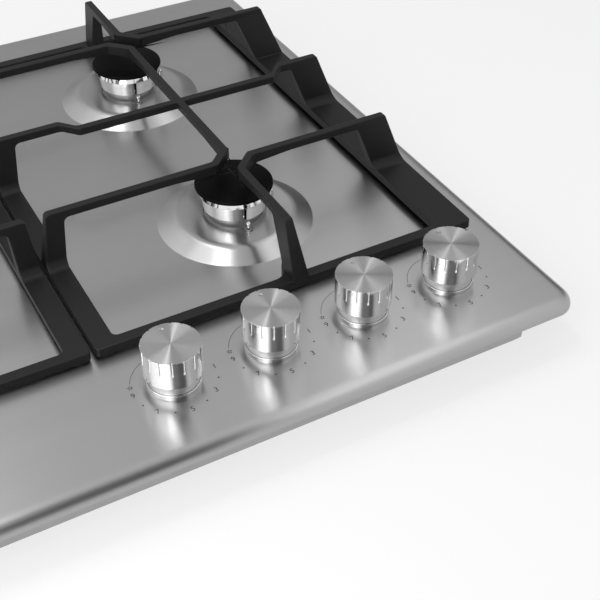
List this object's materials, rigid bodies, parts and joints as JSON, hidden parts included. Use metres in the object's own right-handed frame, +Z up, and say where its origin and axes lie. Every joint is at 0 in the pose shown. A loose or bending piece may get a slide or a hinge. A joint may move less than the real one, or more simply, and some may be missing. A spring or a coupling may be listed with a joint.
{
  "type": "gas cooktop",
  "caption": "Built-in gas cooktop: brushed steel top, raised burner seats with capped burners, black cast pan supports and round fluted control knobs at the front right.",
  "frame": {"origin": "middle of the overall box in X and Y, at the underside of the tray", "axes": "+X to the right and +Y to the rear as seen by the cook, +Z up"},
  "size_m": [0.59, 0.52, 0.091],
  "materials": {
    "top_steel": "fine satin brushed stainless steel, mid grey",
    "tray_steel": "plain zinc-grey pressed sheet",
    "seal_foam": "dark closed-cell foam",
    "rail_steel": "plain steel tube",
    "brass": "machined brass",
    "spindle_steel": "turned steel",
    "knob_metal": "bright polished side with a finely turned face",
    "bezel_chrome": "bright ring",
    "seal_rubber": "soft black rubber",
    "switch_plastic": "black moulded plastic",
    "terminal_plastic": "pale moulded plastic",
    "cup_metal": "die-cast, dull grey",
    "crown_metal": "turned and polished",
    "cap_enamel": "matt black enamel",
    "igniter_ceramic": "glazed white ceramic with a steel tip",
    "sensor_steel": "plain steel tip",
    "pipe_metal": "drawn tube",
    "support_iron": "matt black enamelled cast iron"
  },
  "bodies": {
    "hob": {"hob_top": "top_steel", "under_tray": "tray_steel", "rail_brackets": "tray_steel", "bracket_screws": "tray_steel", "worktop_seal": "seal_foam", "gas_rail": "rail_steel", "gas_inlet": "brass", "injectors": "brass", "valve_body_1": "brass", "valve_body_2": "brass", "valve_body_3": "brass", "valve_body_4": "brass", "knob_bezels": "bezel_chrome", "spindle_seals": "seal_rubber", "ignition_switches": "switch_plastic", "spark_generator": "switch_plastic", "cable_gland": "switch_plastic", "terminal_block": "terminal_plastic", "burner_cup_1": "cup_metal", "burner_cup_2": "cup_metal", "burner_cup_3": "cup_metal", "burner_cup_4": "cup_metal", "igniter_1": "igniter_ceramic", "igniter_2": "igniter_ceramic", "igniter_3": "igniter_ceramic", "igniter_4": "igniter_ceramic", "flame_sensor_1": "sensor_steel", "flame_sensor_2": "sensor_steel", "flame_sensor_3": "sensor_steel", "flame_sensor_4": "sensor_steel", "supply_pipe_1": "pipe_metal", "supply_pipe_2": "pipe_metal", "supply_pipe_3": "pipe_metal", "supply_pipe_4": "pipe_metal"},
    "plug_1": {"valve_plug_1": "brass"},
    "knob_1": {"spindle_1": "spindle_steel", "knob_1": "knob_metal"},
    "crown_1": {"burner_crown_1": "crown_metal"},
    "cap_1": {"burner_cap_1": "cap_enamel"},
    "plug_2": {"valve_plug_2": "brass"},
    "knob_2": {"spindle_2": "spindle_steel", "knob_2": "knob_metal"},
    "crown_2": {"burner_crown_2": "crown_metal"},
    "cap_2": {"burner_cap_2": "cap_enamel"},
    "plug_3": {"valve_plug_3": "brass"},
    "knob_3": {"spindle_3": "spindle_steel", "knob_3": "knob_metal"},
    "crown_3": {"burner_crown_3": "crown_metal"},
    "cap_3": {"burner_cap_3": "cap_enamel"},
    "plug_4": {"valve_plug_4": "brass"},
    "knob_4": {"spindle_4": "spindle_steel", "knob_4": "knob_metal"},
    "crown_4": {"burner_crown_4": "crown_metal"},
    "cap_4": {"burner_cap_4": "cap_enamel"},
    "support_left": {"pan_support_left": "support_iron", "support_pads_left": "seal_rubber"},
    "support_right": {"pan_support_right": "support_iron", "support_pads_right": "seal_rubber"}
  },
  "joints": [
    {"name": "knob_1_turn", "type": "hinge", "parent": "hob", "child": "plug_1", "pos_m": [0.035, -0.2016, 0.03], "axis": [0, 0, 1], "range_deg": [0, 270]},
    {"name": "knob_1_push", "type": "slide", "parent": "plug_1", "child": "knob_1", "axis": [0, 0, -1], "range_m": [0, 0.003], "stiffness_N_per_m": 2000, "springref_m": -0.002},
    {"name": "knob_2_turn", "type": "hinge", "parent": "hob", "child": "plug_2", "pos_m": [0.1, -0.2016, 0.03], "axis": [0, 0, 1], "range_deg": [0, 270]},
    {"name": "knob_2_push", "type": "slide", "parent": "plug_2", "child": "knob_2", "axis": [0, 0, -1], "range_m": [0, 0.003], "stiffness_N_per_m": 2000, "springref_m": -0.002},
    {"name": "knob_3_turn", "type": "hinge", "parent": "hob", "child": "plug_3", "pos_m": [0.165, -0.2016, 0.03], "axis": [0, 0, 1], "range_deg": [0, 270]},
    {"name": "knob_3_push", "type": "slide", "parent": "plug_3", "child": "knob_3", "axis": [0, 0, -1], "range_m": [0, 0.003], "stiffness_N_per_m": 2000, "springref_m": -0.002},
    {"name": "knob_4_turn", "type": "hinge", "parent": "hob", "child": "plug_4", "pos_m": [0.23, -0.2016, 0.03], "axis": [0, 0, 1], "range_deg": [0, 270]},
    {"name": "knob_4_push", "type": "slide", "parent": "plug_4", "child": "knob_4", "axis": [0, 0, -1], "range_m": [0, 0.003], "stiffness_N_per_m": 2000, "springref_m": -0.002},
    {"name": "crown_1_lift", "type": "slide", "parent": "hob", "child": "crown_1", "axis": [0, 0, 1], "range_m": [0, 0.006]},
    {"name": "cap_1_lift", "type": "slide", "parent": "crown_1", "child": "cap_1", "axis": [0, 0, 1], "range_m": [0, 0.006]},
    {"name": "crown_2_lift", "type": "slide", "parent": "hob", "child": "crown_2", "axis": [0, 0, 1], "range_m": [0, 0.006]},
    {"name": "cap_2_lift", "type": "slide", "parent": "crown_2", "child": "cap_2", "axis": [0, 0, 1], "range_m": [0, 0.006]},
    {"name": "crown_3_lift", "type": "slide", "parent": "hob", "child": "crown_3", "axis": [0, 0, 1], "range_m": [0, 0.006]},
    {"name": "cap_3_lift", "type": "slide", "parent": "crown_3", "child": "cap_3", "axis": [0, 0, 1], "range_m": [0, 0.006]},
    {"name": "crown_4_lift", "type": "slide", "parent": "hob", "child": "crown_4", "axis": [0, 0, 1], "range_m": [0, 0.006]},
    {"name": "cap_4_lift", "type": "slide", "parent": "crown_4", "child": "cap_4", "axis": [0, 0, 1], "range_m": [0, 0.006]},
    {"name": "support_left_lift", "type": "slide", "parent": "hob", "child": "support_left", "axis": [0, 0, 1], "range_m": [0, 0.08]},
    {"name": "support_right_lift", "type": "slide", "parent": "hob", "child": "support_right", "axis": [0, 0, 1], "range_m": [0, 0.08]}
  ]
}
